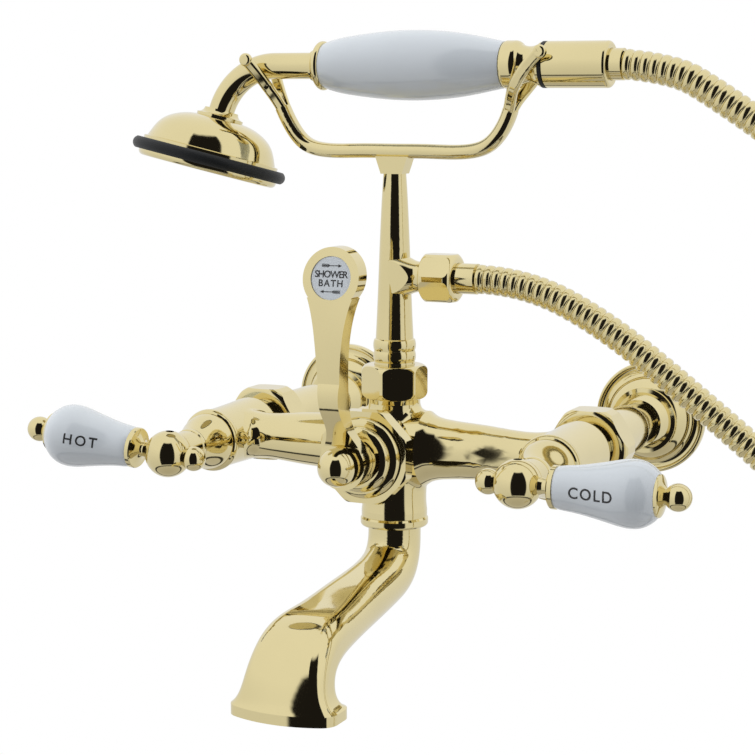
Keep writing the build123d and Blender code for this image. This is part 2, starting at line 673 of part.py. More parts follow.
def spout_section(station, wall=0.0):
    """One cross-section of the spout, square to the flow, with its front side bowed out."""
    reach, z, dip, width, depth, corner, bow = station
    flow = (0, -cos(radians(dip)), -sin(radians(dip)))
    plane = Plane(origin=(0, -reach, z), x_dir=(1, 0, 0), z_dir=flow)
    x, y = width / 2 - wall, depth / 2 - wall
    runs = (
        Polyline((x, y - bow), (x, -y), (-x, -y), (-x, y - bow)),
        ThreePointArc((-x, y - bow), (0, y), (x, y - bow)),
    )
    face = make_face([edge for run in runs for edge in run.edges()])
    return plane * fillet(face.vertices(), corner - wall)


def spout():
    """Hollow cast spout that turns from a round neck to a wide flared mouth."""
    lip = SPOUT_STATIONS[-1]
    outer = loft([spout_section(station) for station in SPOUT_STATIONS])
    outer += extrude(spout_section(lip), SPOUT_LIP_LENGTH, dir=(0, 0, -1))
    inner = loft([spout_section(station, SPOUT_WALL) for station in SPOUT_STATIONS[1:]])
    inner += extrude(spout_section(lip, SPOUT_WALL), SPOUT_LIP_LENGTH + 1, dir=(0, 0, -1))
    tail_top = SPOUT_SEAT_Z + SPOUT_TAIL_RISE - 0.5
    body = outer + upright() * rod(SPOUT_TAIL_R, SPOUT_TOP_Z - 1, tail_top) - inner
    return body - upright() * rod(SPOUT_TAIL_R - SPOUT_TAIL_WALL, SPOUT_TOP_Z - 12, tail_top + 1)


def spout_collar():
    """Ring nut between the body and the spout, recessed above for the seal."""
    r = SPOUT_COLLAR_R
    bore = SPOUT_TAIL_R + SLIP_FIT
    low, top = SPOUT_TOP_Z, SPOUT_SEAT_Z
    ring = turned(
        line((bore, low), (r - 1.6, low)),
        arc((r - 1.6, low), (r - 0.3, low + 0.7), (r, low + 2.0)),
        line((r, low + 2.0), (r, top - 1.2), (r - 0.8, top), (bore, top), (bore, low)),
    )
    return upright() * (ring - rod(SPOUT_SEAL_R + SLIP_FIT, top - SPOUT_SEAL_LENGTH, top + 1))


def spout_seal():
    """Rubber seal in the collar's recess."""
    top = SPOUT_SEAT_Z
    return upright() * tube(SPOUT_SEAL_R, SPOUT_TAIL_R + SLIP_FIT, top - SPOUT_SEAL_LENGTH, top)


# ---------------------------------------------------------------- riser
RISER_FLANGE_Z = RISER_SEAT_Z + RISER_WASHER_LENGTH
RISER_WEB_Z = RISER_FLANGE_Z + RISER_FLANGE_LENGTH
RISER_NUT_TOP_Z = RISER_NUT_Z + RISER_NUT_LENGTH
BEADS_Z = RISER_NUT_TOP_Z + 1.4
CONE_Z = BEADS_Z + 2 * BEAD_LENGTH
HOSE_NUT_END = HOSE_NUT_START + HOSE_NUT_LENGTH
OUTLET_HEAD_X = HOSE_NUT_END - HOSE_NUT_WEB - FERRULE_HEAD_LENGTH
OUTLET_SEAT_X = OUTLET_HEAD_X - HOSE_WASHER_LENGTH
OUTLET_HOSE_X = HOSE_NUT_END + OUTLET_FERRULE_OUT


def riser_union_nut():
    """Hexagon nut that holds the riser's flange on the body."""
    nut = Pos(0, 0, RISER_NUT_Z) * hex_nut(RISER_NUT_ACROSS_FLATS, RISER_NUT_CORNER_R, RISER_NUT_LENGTH, 0)
    nut -= rod(RISER_SEAT_R + SLIP_FIT, RISER_NUT_Z - 1, RISER_WEB_Z)
    nut -= rod(RISER_FOOT_R + SLIP_FIT, RISER_NUT_Z - 1, RISER_NUT_TOP_Z + 1)
    return upright() * nut


def riser_washer():
    """Flat seal under the riser."""
    return upright() * tube(RISER_SEAT_R, WATERWAY_R, RISER_SEAT_Z, RISER_FLANGE_Z)


def riser():
    """Tapered upright with two beads at its foot and a threaded outlet for the hose."""
    foot, flange_r = RISER_FOOT_R, RISER_SEAT_R
    first, second, third = BEADS_Z, BEADS_Z + BEAD_LENGTH, CONE_Z
    outside = turned(
        line((0, RISER_FLANGE_Z), (flange_r, RISER_FLANGE_Z), (flange_r, RISER_WEB_Z), (foot, RISER_WEB_Z)),
        line((foot, RISER_WEB_Z), (foot, first)),
        arc((foot, first), (BEAD_R, (first + second) / 2), (foot, second)),
        arc((foot, second), (BEAD_R, (second + third) / 2), (foot, third)),
        line((foot, third), (9.2, third + 0.4)),
        curve((9.2, third + 0.4), (8.0, 79.0), (7.0, 105.0), (RISER_TOP_R, RISER_TOP_Z)),
        line((RISER_TOP_R, RISER_TOP_Z), (0, RISER_TOP_Z), (0, RISER_FLANGE_Z)),
    )
    thread_r = OUTLET_R - 0.2
    outlet = Rot(0, 90, 0) * turned(
        line((0, 0), (11.0, 0)),
        curve((11.0, 0), (9.6, 6.6), (OUTLET_R, 10.4), (thread_r, HOSE_NUT_START)),
        line((thread_r, HOSE_NUT_START), (thread_r, OUTLET_SEAT_X), (0, OUTLET_SEAT_X), (0, 0)),
    )
    outlet &= Box(80, 2 * OUTLET_R, 60)
    body = outside + Pos(0, 0, OUTLET_Z) * outlet
    body -= rod(RISER_BORE_R, RISER_FLANGE_Z - 1, OUTLET_Z + 4)
    body -= Pos(0, 0, OUTLET_Z) * Rot(0, 90, 0) * rod(RISER_BORE_R, 0, OUTLET_SEAT_X + 1)
    body -= rod(CRADLE_PIN_R, RISER_TOP_Z - CRADLE_PIN_LENGTH, RISER_TOP_Z + 1)
    return upright() * body


def outlet_hose_nut():
    """Rounded hexagon nut that holds the hose on the riser's outlet."""
    nut = hex_nut(HOSE_NUT_ACROSS_FLATS, HOSE_NUT_CORNER_R, HOSE_NUT_LENGTH, 90)
    nut -= rod(FERRULE_HEAD_R + SLIP_FIT, -1, HOSE_NUT_LENGTH - HOSE_NUT_WEB)
    nut -= rod(FERRULE_R + SLIP_FIT, -1, HOSE_NUT_LENGTH + 1)
    return sideways(HOSE_NUT_START, OUTLET_Z) * nut


def outlet_hose_washer():
    """Seal between the outlet and the hose."""
    return sideways(OUTLET_SEAT_X, OUTLET_Z) * tube(OUTLET_R - 0.2, FERRULE_BORE_R, 0, HOSE_WASHER_LENGTH)


def outlet_ferrule():
    """Crimped end of the hose at the riser."""
    return sideways(OUTLET_HEAD_X, OUTLET_Z) * ferrule(OUTLET_HOSE_X - OUTLET_HEAD_X)


# ---------------------------------------------------------------- cradle
BAR_FOOT_HALF = 8.4
BAR_ROUTE = (
    (-60.0, 0, 163.6), (-55.0, 0, 154.4), (-47.0, 0, 146.0), (-BAR_HALF, 0, BAR_Z), (-BAR_HALF / 2, 0, BAR_Z),
    (0, 0, BAR_Z),
    (BAR_HALF / 2, 0, BAR_Z), (BAR_HALF, 0, BAR_Z), (47.6, 0, 146.2), (55.0, 0, 154.0), (59.0, 0, 163.0),
)
LEFT_TINE = (
    (-57.6, 1.4, 159.0), (-61.2, 2.8, 166.2), (-65.4, 6.0, 173.6), (-69.4, 9.8, 180.6), (-73.2, 13.6, 186.6),
)
RIGHT_TINE = (
    (57.4, 1.4, 158.6), (60.2, 4.0, 166.0), (64.0, 9.8, 173.2), (70.4, 12.6, 182.0), (78.0, 14.0, 189.4),
)


def swept_bar(points, height, depth, corner):
    """A rounded bar swept through (x, y, z) points, with its depth across the plane of the cradle."""
    path = Spline(*points)
    plane = Plane(origin=path @ 0, x_dir=(0, 1, 0), z_dir=path % 0)
    return sweep(plane * RectangleRounded(depth, height, corner), path=path)


def tine(points, way):
    """One prong of a fork, ending in a round pad; way is 1 for the front and -1 for the back."""
    route = [(x, -way * y, z) for x, y, z in points]
    pad = Pos(*route[-1]) * Rot(90, 0, 0) * Cylinder(TINE_PAD_R, TINE_THICKNESS)
    pad = fillet(pad.edges().filter_by(GeomType.CIRCLE), 1.4)
    return swept_bar(route, TINE_HEIGHT, TINE_THICKNESS, 1.6) + pad


def cradle():
    """Cast cradle: a bar on the riser whose two ends rise and split into forks."""
    half, rise = BAR_FOOT_HALF, BAR_Z - BAR_HEIGHT / 2 - RISER_TOP_Z + 1
    outline = Polyline((-RISER_TOP_R, 0), (RISER_TOP_R, 0), (half, rise), (-half, rise), (-RISER_TOP_R, 0))
    foot_plane = Plane(origin=(0, 0, RISER_TOP_Z), x_dir=(1, 0, 0), z_dir=(0, -1, 0))
    body = foot_plane * extrude(make_face(outline.edges()), RISER_TOP_R - 1, both=True)
    body += swept_bar(BAR_ROUTE, BAR_HEIGHT, BAR_DEPTH, BAR_CORNER)
    for prong in (LEFT_TINE, RIGHT_TINE):
        body += tine(prong, 1) + tine(prong, -1)
    body += rod(CRADLE_PIN_R, RISER_TOP_Z - CRADLE_PIN_LENGTH, RISER_TOP_Z + 2)
    return upright() * body


# ---------------------------------------------------------------- hand shower, about its grip's axis
GRIP_END = GRIP_START + GRIP_LENGTH
WASHER_X = GRIP_END + REAR_COLLAR_LENGTH
CONNECTOR_X = WASHER_X + CONNECTOR_WASHER_LENGTH
CONNECTOR_END = CONNECTOR_X + CONNECTOR_LENGTH
HANDSET_HEAD_X = CONNECTOR_END - CONNECTOR_WEB - FERRULE_HEAD_LENGTH
HANDSET_HOSE_X = CONNECTOR_END + HANDSET_FERRULE_OUT
NECK_START = GRIP_START - FRONT_COLLAR_LENGTH


def on_handset():
    """Where the hand shower rests in the cradle."""
    return Location((0, -BODY_REACH, HANDSET_Z), (-HANDSET_ROLL, 0, 0))


def along_grip():
    """Plane whose Z runs along the grip towards the hose."""
    return Plane(origin=(0, 0, 0), x_dir=(0, 1, 0), z_dir=(1, 0, 0))


def head_plane():
    """Plane at the rubber ring's centre whose Z runs up the head's axis."""
    tilt = radians(HEAD_TILT)
    up = (sin(tilt), 0, cos(tilt))
    origin = (NECK_CORNER_OUT - HEAD_ALONG * up[0], 0, -HEAD_ALONG * up[2])
    return Plane(origin=origin, x_dir=(0, 1, 0), z_dir=up)


def handset_neck():
    """Bent tube between the grip and the head."""
    tilt = radians(HEAD_TILT)
    down = Vector(-sin(tilt), 0, -cos(tilt))
    corner = Vector(NECK_CORNER_OUT, 0, 0)
    setback = NECK_BEND_R * tan(radians(90 - HEAD_TILT) / 2)
    start = Vector(NECK_START, 0, 0)
    bend_start = corner + Vector(setback, 0, 0)
    bend_end = corner + down * setback
    end = corner + down * (HEAD_ALONG - DOME_HEIGHT + DOME_SOCKET_DEPTH)
    bend = TangentArc(bend_start, bend_end, tangent=(-1, 0, 0))
    path = Wire([Line(start, bend_start).edge(), bend.edge(), Line(bend_end, end).edge()])
    plane = Plane(origin=start, x_dir=(0, 1, 0), z_dir=(-1, 0, 0))
    return sweep(plane * Circle(NECK_TUBE_R), path=path) - sweep(plane * Circle(NECK_TUBE_BORE_R), path=path)


def handset_front_collar():
    """Bell collar between the neck and the grip."""
    start, end = NECK_START - 2.0, GRIP_START
    r, lip_r = FRONT_COLLAR_R, NECK_TUBE_R + 1.1
    bell = turned(
        line((0, start), (lip_r, start), (lip_r, start + 1.2)),
        curve((lip_r, start + 1.2), (8.6, start + 2.2), (r - 1.2, start + 3.4)),
        arc((r - 1.2, start + 3.4), (r, start + 4.9), (r - 0.7, end)),
        line((r - 0.7, end), (0, end), (0, start)),
    )
    bell -= rod(NECK_TUBE_R, start - 1, NECK_START)
    bell -= rod(GRIP_TUBE_BORE_R, start - 1, end + 1)
    bell -= rod(GRIP_TUBE_R, end - COLLAR_HOLE, end + 1)
    return along_grip() * bell


def handset_grip():
    """Porcelain grip, fullest in the middle."""
    start, end = GRIP_START, GRIP_END
    grip = turned(
        line((GRIP_BORE_R, start), (10.8, start)),
        curve(
            (10.8, start),
            (12.1, start + 4.0),
            (14.6, start + 18.0),
            (16.4, start + 38.0),
            (16.4, start + 54.0),
            (14.4, start + 74.0),
            (12.0, start + 86.5),
            (10.8, end),
        ),
        line((10.8, end), (GRIP_BORE_R, end), (GRIP_BORE_R, start)),
    )
    return along_grip() * grip


def handset_tube():
    """Water tube through the porcelain, which also ties the two collars."""
    return along_grip() * tube(GRIP_TUBE_R, GRIP_TUBE_BORE_R, GRIP_START - COLLAR_HOLE, GRIP_END + COLLAR_HOLE)


def handset_rear_collar():
    """Collar behind the grip with a waisted neck and a threaded tail."""
    start, end, tail_end = GRIP_END, WASHER_X, HANDSET_HEAD_X
    r, neck = REAR_COLLAR_R, REAR_NECK_R
    collar = turned(
        line((0, start), (r - 0.8, start)),
        arc((r - 0.8, start), (r - 0.2, start + 0.8), (r, start + 2.0)),
        line((r, start + 2.0), (r, start + 5.6)),
        arc((r, start + 5.6), (r - 0.6, start + 7.6), (r - 1.8, start + 8.8)),
        curve((r - 1.8, start + 8.8), (neck, start + 11.0), (neck, start + 14.2), (r - 0.9, end - 1.2)),
        line((r - 0.9, end - 1.2), (r - 0.9, end), (REAR_TAIL_R, end), (REAR_TAIL_R, tail_end), (0, tail_end)),
        line((0, tail_end), (0, start)),
    )
    collar -= rod(GRIP_TUBE_R, start - 1, start + COLLAR_HOLE)
    collar -= rod(GRIP_TUBE_BORE_R, start - 1, tail_end + 1)
    return along_grip() * collar


def connector_washer():
    """Rubber ring between the rear collar and the connector."""
    return along_grip() * tube(CONNECTOR_R, REAR_TAIL_R + SLIP_FIT, WASHER_X, CONNECTOR_X)


def handset_connector():
    """Long round nut that joins the hose to the hand shower."""
    r, start, end = CONNECTOR_R, CONNECTOR_X, CONNECTOR_END
    nut = turned(
        line((0, start), (r - 0.5, start), (r, start + 0.5), (r, end - 1.6)),
        arc((r, end - 1.6), (r - 0.5, end - 0.5), (r - 1.6, end)),
        line((r - 1.6, end), (0, end), (0, start)),
    )
    nut -= rod(REAR_TAIL_R + SLIP_FIT, start - 1, end - CONNECTOR_WEB)
    nut -= rod(FERRULE_R + SLIP_FIT, start - 1, end + 1)
    return along_grip() * nut


def handset_ferrule():
    """Crimped end of the hose at the hand shower."""
    return along_grip() * Pos(0, 0, HANDSET_HEAD_X) * ferrule(HANDSET_HOSE_X - HANDSET_HEAD_X)


def shower_dome():
    """Spun dome of the head, open below, with the socket that the neck sits in."""
    half, top = RUBBER_RING_LENGTH / 2, DOME_HEIGHT
    flange, spigot, bore = DOME_FLANGE_R, DOME_SPIGOT_R, NECK_TUBE_BORE_R
    seat = top - DOME_SOCKET_DEPTH
    shell = turned(
        line((spigot - 2.0, -half), (spigot, -half), (spigot, half), (flange, half), (flange, half + 1.4)),
        line((flange, half + 1.4), (flange - 1.6, half + 1.8)),
        curve((flange - 1.6, half + 1.8), (31.4, 7.2), (28.2, 13.2), (20.3, 18.8), (12.4, 20.8)),
        line((12.4, 20.8), (11.6, 21.0), (11.6, 22.2)),
        curve((11.6, 22.2), (9.2, 23.4), (8.4, top)),
        line((8.4, top), (NECK_TUBE_R, top), (NECK_TUBE_R, seat), (bore, seat), (bore, seat - 1.6)),
        curve((bore, seat - 1.6), (19.0, 16.6), (26.2, 11.6), (spigot - 2.0, 4.0)),
        line((spigot - 2.0, 4.0), (spigot - 2.0, -half)),
    )
    return head_plane() * shell


def shower_ring():
    """Black rubber bumper around the head."""
    r, half, bore = RUBBER_RING_R, RUBBER_RING_LENGTH / 2, DOME_SPIGOT_R + SLIP_FIT
    ring = turned(
        line((bore, -half), (r - 1.8, -half)),
        arc((r - 1.8, -half), (r, 0), (r - 1.8, half)),
        line((r - 1.8, half), (bore, half), (bore, -half)),
    )
    return head_plane() * ring


def spray_plate():
    """Face of the head, drilled with two rings of jets."""
    r, top = SPRAY_PLATE_R, -RUBBER_RING_LENGTH / 2
    low = top - SPRAY_PLATE_LENGTH
    plate = turned(
        line((0, low), (r - 2.4, low)),
        arc((r - 2.4, low), (r - 0.6, low + 0.8), (r, top - 0.4)),
        line((r, top - 0.4), (r, top), (0, top), (0, low)),
    )
    jet = Pos(0, 0, low) * Cylinder(0.9, 20)
    for radius, count in ((10.0, 8), (20.0, 16)):
        plate -= [location * jet for location in PolarLocations(radius, count)]
    return head_plane() * plate


# ---------------------------------------------------------------- hose
HOSE_LOWER = (
    (OUTLET_HOSE_X, OUTLET_Z), (67.5, 83.0), (108.0, 64.0), (152.0, 31.3), (206.0, -11.2), (224.0, -70.0),
    (227.0, -150.0), (227.6, -250.0), (226.6, -340.0), (226.0, -410.6), (259.4, -444.0), (306.6, -444.0),
    (340.0, -410.6), (341.0, -340.0), (340.0, -280.0),
)
HOSE_UPPER = (
    (340.0, -280.0), (339.0, -220.0), (335.0, -130.0), (318.0, -40.0), (283.0, 50.0), (238.0, 114.0),
    (188.0, 149.6), (156.0, 170.8), (137.0, 181.5), (HANDSET_HOSE_X, HANDSET_Z),
)


def hose_route(points):
    """Straight runs joined by tangent bends; prints the bend radii."""
    stops = [Vector(x, -BODY_REACH, z) for x, z in points]
    radii = []
    edges = []
    last = stops[0]
    for before, corner, after in zip(stops, stops[1:], stops[2:]):
        way_in = (corner - before).normalized()
        way_out = (after - corner).normalized()
        turn = radians(way_in.get_angle(way_out))
        setback = 0.45 * min((corner - before).length, (after - corner).length)
        radius = setback / tan(turn / 2)
        radii.append(round(radius))
        start = corner - way_in * setback
        end = corner + way_out * setback
        middle = corner + (way_out - way_in).normalized() * radius * (1 / cos(turn / 2) - 1)
        edges += [Line(last, start).edge(), ThreePointArc(start, middle, end).edge()]
        last = end
    edges.append(Line(last, stops[-1]).edge())
    path = Wire(edges)
    print("hose run", round(path.length, 1), "mm, bend radii", radii)
    return path


def hose(points):
    """A length of hose, as a plain round tube's outside."""
    path = hose_route(points)
    plane = Plane(origin=path @ 0, z_dir=path % 0)
    return sweep(plane * Circle(HOSE_R), path=path)


# ---------------------------------------------------------------- assembly
def valve_nodes():
    """The pieces that both supplies have, named hot and cold."""
    nodes = {}
    for name, side in (("hot", -1), ("cold", 1)):
        x = side * SUPPLY_X
        for piece in (supply_arm, escutcheon, union_nut, union_washer, cartridge, bonnet, stem):
            nodes[f"{name}_{piece.__name__}"] = piece(x)
        for piece in (hub, set_screw, lever_rod, porcelain_lever, finial):
            nodes[f"{name}_{piece.__name__}"] = piece(side)
    return nodes


def handset_nodes():
    """The hand shower's pieces, moved to where it rests."""
    pieces = (
        handset_neck, handset_front_collar, handset_grip, handset_tube, handset_rear_collar, connector_washer,
        handset_connector, handset_ferrule, shower_dome, shower_ring, spray_plate,
    )
    return {piece.__name__: on_handset() * piece() for piece in pieces}


def body_nodes():
    """The pieces on the centre line."""
    pieces = (
        main_body, diverter_bonnet, diverter_drum, diverter_stem, diverter_lever, diverter_button, diverter_cap,
        spout_collar, spout_seal, spout, riser_union_nut, riser_washer, riser, cradle,
        outlet_hose_nut, outlet_hose_washer, outlet_ferrule,
    )
    return {piece.__name__: piece() for piece in pieces}


def main():
    nodes = body_nodes() | valve_nodes() | handset_nodes()
    nodes["shower_hose_lower"] = hose(HOSE_LOWER)
    nodes["shower_hose_upper"] = hose(HOSE_UPPER)
    for name, shape in nodes.items():
        count = len(shape.solids())
        if count != 1 or not shape.is_valid:
            print("look at", name, count, "solids, valid:", shape.is_valid)
        export_step(shape, f"parts/{name}.step")
    print(len(nodes), "nodes")


if __name__ == "__main__":
    main()
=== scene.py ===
"""Looks for a wall mounted brass bath faucet with porcelain levers and a hand shower."""

import json
from math import atan2, cos, pi, radians, sin

import bmesh
import bpy
from bpy.props import FloatProperty, FloatVectorProperty, PointerProperty
from mathutils import Matrix, Vector
from mathutils.bvhtree import BVHTree


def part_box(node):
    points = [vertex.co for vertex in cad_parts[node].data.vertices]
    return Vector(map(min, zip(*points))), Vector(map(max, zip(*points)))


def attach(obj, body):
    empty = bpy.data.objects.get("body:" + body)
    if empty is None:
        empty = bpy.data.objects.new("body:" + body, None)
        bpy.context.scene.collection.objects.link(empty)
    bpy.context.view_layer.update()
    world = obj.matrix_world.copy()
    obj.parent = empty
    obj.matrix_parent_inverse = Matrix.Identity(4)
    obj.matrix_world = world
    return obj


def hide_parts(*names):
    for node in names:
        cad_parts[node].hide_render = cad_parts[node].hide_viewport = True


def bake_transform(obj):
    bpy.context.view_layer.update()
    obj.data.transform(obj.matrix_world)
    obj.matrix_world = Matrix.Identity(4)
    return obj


bl_info = {
    "name": "Bath faucet with hand shower",
    "version": (1, 0, 0),
    "blender": (4, 5, 0),
    "location": "3D View > Sidebar > Faucet",
    "description": "Dresses the packed faucet: ribbed hose, lettering, finishes and studio",
    "category": "Object",
}

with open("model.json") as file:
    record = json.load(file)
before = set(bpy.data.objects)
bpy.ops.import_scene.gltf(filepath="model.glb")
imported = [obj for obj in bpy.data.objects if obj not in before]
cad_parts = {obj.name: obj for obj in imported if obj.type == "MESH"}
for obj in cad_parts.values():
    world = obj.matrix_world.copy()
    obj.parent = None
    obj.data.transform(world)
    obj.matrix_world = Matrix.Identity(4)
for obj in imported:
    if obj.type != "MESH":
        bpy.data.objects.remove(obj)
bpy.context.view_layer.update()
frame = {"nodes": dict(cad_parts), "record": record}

SENSOR_WIDTH_MM = 36.0
CAPITAL_SHARE = 0.69  # of the font's size
LETTER_FACET = 0.0005
RAY_RUN_UP = 0.02
HOSE_SIDES = 22
HOSE_PLANE_Y = -0.1373
HOSE_ROUTE = (
    (0.0431, 0.0832), (0.0675, 0.0830), (0.1080, 0.0640), (0.1520, 0.0313), (0.2060, -0.0112),
    (0.2240, -0.0700), (0.2270, -0.1500), (0.2276, -0.2500), (0.2266, -0.3400), (0.2260, -0.4106),
    (0.2594, -0.4440), (0.3066, -0.4440), (0.3400, -0.4106), (0.3410, -0.3400), (0.3390, -0.2200),
    (0.3350, -0.1300), (0.3180, -0.0400), (0.2830, 0.0500), (0.2380, 0.1140), (0.1880, 0.1496),
    (0.1560, 0.1708), (0.1370, 0.1815), (0.1138, 0.1837),
)


# ---------------------------------------------------------------- what a user would change
class FaucetFinishes(bpy.types.PropertyGroup):
    brass: FloatVectorProperty(
        name="Polished brass", description="Colour of the lacquered brass", subtype="COLOR", size=3,
        min=0, max=1, default=(0.83, 0.72, 0.39),
    )
    glaze: FloatVectorProperty(
        name="Porcelain", description="Colour of the glazed levers, grip and button", subtype="COLOR", size=3,
        min=0, max=1, default=(0.80, 0.86, 0.92),
    )
    rubber: FloatVectorProperty(
        name="Rubber", description="Colour of the head's bumper and the seals", subtype="COLOR", size=3,
        min=0, max=1, default=(0.012, 0.013, 0.014),
    )
    ink: FloatVectorProperty(
        name="Lettering", description="Colour of the words fired into the glaze", subtype="COLOR", size=3,
        min=0, max=1, default=(0.02, 0.02, 0.022),
    )
    polish: FloatProperty(
        name="Brass roughness", description="Lower is a sharper polish", min=0.0, max=1.0, default=0.055,
    )


class ShowerHoseSizes(bpy.types.PropertyGroup):
    diameter: FloatProperty(
        name="Diameter", description="Outside diameter over the ribs", unit="LENGTH", default=0.014,
    )
    pitch: FloatProperty(
        name="Rib pitch", description="Distance from one rib to the next", unit="LENGTH", default=0.0043,
    )
    groove: FloatProperty(
        name="Groove depth", description="Depth of the groove between ribs", unit="LENGTH", default=0.0010,
    )
    length: FloatProperty(
        name="Length", description="Real length between the two ferrules", unit="LENGTH", default=1.44,
    )


class LetteringSizes(bpy.types.PropertyGroup):
    lever_height: FloatProperty(
        name="Lever letters", description="Capital height on the two levers", unit="LENGTH", default=0.0048,
    )
    button_height: FloatProperty(
        name="Button letters", description="Capital height on the diverter's button", unit="LENGTH",
        default=0.0030,
    )
    proud: FloatProperty(
        name="Thickness", description="How far the ink stands proud of the glaze", unit="LENGTH",
        default=0.00008,
    )


class StudioSettings(bpy.types.PropertyGroup):
    camera_place: FloatVectorProperty(
        name="Camera", description="Where the camera stands", subtype="XYZ", unit="LENGTH", size=3,
        default=(0.3924, -1.0184, 0.17197),
    )
    camera_azimuth: FloatProperty(
        name="Azimuth", description="Turn of the camera from straight in front", subtype="ANGLE",
        default=radians(24.5),
    )
    camera_pitch: FloatProperty(
        name="Pitch", description="How far the camera looks down", subtype="ANGLE", default=radians(8.17),
    )
    camera_lens: FloatProperty(
        name="Lens", description="Focal length", subtype="DISTANCE_CAMERA", default=95.4,
    )
    key: FloatProperty(name="Key light", description="Power of the large softbox", unit="POWER", default=5.0)
    fill: FloatProperty(name="Fill light", description="Power of the side softbox", unit="POWER", default=2.0)
    tent: FloatProperty(name="Tent", description="Brightness of the white tent", min=0.0, default=0.92)


# ---------------------------------------------------------------- node building
class Value:
    """A shader socket that takes part in plain arithmetic."""

    def __init__(self, tree, socket):
        self.tree = tree
        self.socket = socket

    def _math(self, operation, first, second):
        node = self.tree.nodes.new("ShaderNodeMath")
        node.operation = operation
        for socket, term in zip(node.inputs, (first, second)):
            if isinstance(term, Value):
                self.tree.links.new(term.socket, socket)
            else:
                socket.default_value = term
        return Value(self.tree, node.outputs[0])

    def __add__(self, other):
        return self._math("ADD", self, other)

    def __mul__(self, other):
        return self._math("MULTIPLY", self, other)

    def __sub__(self, other):
        return self._math("SUBTRACT", self, other)

    __radd__ = __add__


class Shader:
    """Builds one node tree."""

    def __init__(self, tree):
        self.tree = tree
        tree.nodes.clear()

    def node(self, kind, settings=None, sockets=None, output=0):
        """Add a node, give its settings, then its sockets' values or links."""
        made = self.tree.nodes.new("ShaderNode" + kind)
        for name, value in (settings or {}).items():
            if name == "stops":
                ramp = made.color_ramp.elements
                while len(ramp) < len(value):
                    ramp.new(0.5)
                for stop, (place, colour) in zip(ramp, value):
                    stop.position = place
                    stop.color = (*colour, 1.0)
            else:
                setattr(made, name, value)
        for name, value in (sockets or {}).items():
            socket = made.inputs[name]
            if isinstance(value, Value):
                self.tree.links.new(value.socket, socket)
            else:
                socket.default_value = value
        return Value(self.tree, made.outputs[output]) if made.outputs else None

    def object_coordinates(self):
        return self.node("TexCoord", output="Object")

    def noise(self, scale, detail=3.0, roughness=0.5):
        return self.node("TexNoise", sockets={
            "Vector": self.object_coordinates(), "Scale": scale, "Detail": detail, "Roughness": roughness,
        })

    def mix(self, amount, first, second):
        """Blend two surfaces or backgrounds."""
        made = self.tree.nodes.new("ShaderNodeMixShader")
        for socket, value in zip(made.inputs, (amount, first, second)):
            self.tree.links.new(value.socket, socket)
        return Value(self.tree, made.outputs[0])

    def finish(self, surface):
        self.node("OutputMaterial", sockets={"Surface": surface})


def tint(shader, colour, other, amount):
    """Drift between two close colours by an amount that varies over the surface."""
    node = shader.tree.nodes.new("ShaderNodeMix")
    node.data_type = "RGBA"
    shader.tree.links.new(amount.socket, node.inputs[0])
    node.inputs[6].default_value = (*colour, 1.0)
    node.inputs[7].default_value = (*other, 1.0)
    return Value(shader.tree, node.outputs[2])


def scaled(colour, factor):
    return tuple(min(1.0, channel * factor) for channel in colour)


def new_material(name):
    material = bpy.data.materials.new(name)
    material.use_nodes = True
    return material, Shader(material.node_tree)


def brass_material(name, roughness, spread):
    """Lacquered polished brass: slow drifts of tone and fine polishing haze."""
    finishes = bpy.context.scene.faucet_finishes
    material, shader = new_material(name)
    drift = shader.noise(38.0, 2.0)
    haze = shader.noise(900.0, 4.0, 0.6)
    ripple = shader.noise(70.0, 2.0, 0.4)
    normal = shader.node("Bump", sockets={"Strength": 0.012, "Distance": 0.0006, "Height": ripple})
    surface = shader.node("BsdfPrincipled", sockets={
        "Base Color": tint(shader, finishes.brass, scaled(finishes.brass, 0.93), drift),
        "Metallic": 1.0,
        "Roughness": roughness + (haze - 0.5) * spread + drift * spread,
        "Coat Weight": 0.35,
        "Coat Roughness": 0.03,
        "Normal": normal,
    })
    shader.finish(surface)
    return material


def porcelain_material():
    """Thick clear glaze over a cool white body."""
    finishes = bpy.context.scene.faucet_finishes
    material, shader = new_material("white_porcelain")
    cloud = shader.noise(55.0, 3.0)
    peel = shader.noise(210.0, 2.0, 0.4)
    surface = shader.node("BsdfPrincipled", sockets={
        "Base Color": tint(shader, finishes.glaze, scaled(finishes.glaze, 0.97), cloud),
        "Roughness": 0.10 + cloud * 0.04,
        "Specular IOR Level": 0.6,
        "Coat Weight": 0.6,
        "Coat Roughness": 0.03,
        "Normal": shader.node("Bump", sockets={"Strength": 0.02, "Distance": 0.0004, "Height": peel}),
    })
    shader.finish(surface)
    return material


def rubber_material():
    """Black moulded rubber with a soft sheen."""
    finishes = bpy.context.scene.faucet_finishes
    material, shader = new_material("black_rubber")
    grain = shader.noise(1500.0, 3.0)
    worn = shader.noise(60.0, 2.0)
    surface = shader.node("BsdfPrincipled", sockets={
        "Base Color": tint(shader, finishes.rubber, scaled(finishes.rubber, 2.2), worn),
        "Roughness": 0.38 + worn * 0.16,
        "Specular IOR Level": 0.25,
        "Normal": shader.node("Bump", sockets={"Strength": 0.12, "Distance": 0.0002, "Height": grain}),
    })
    shader.finish(surface)
    return material


def ink_material():
    """Dark enamel fired into the glaze."""
    finishes = bpy.context.scene.faucet_finishes
    material, shader = new_material("fired_lettering")
    mottle = shader.noise(2600.0, 2.0)
    surface = shader.node("BsdfPrincipled", sockets={
        "Base Color": tint(shader, finishes.ink, scaled(finishes.ink, 1.8), mottle),
        "Roughness": 0.22 + mottle * 0.08,
    })
    shader.finish(surface)
    return material


# ---------------------------------------------------------------- mesh helpers
def add_object(name, data):
    made = bpy.data.objects.new(name, data)
    bpy.context.collection.objects.link(made)
    return made


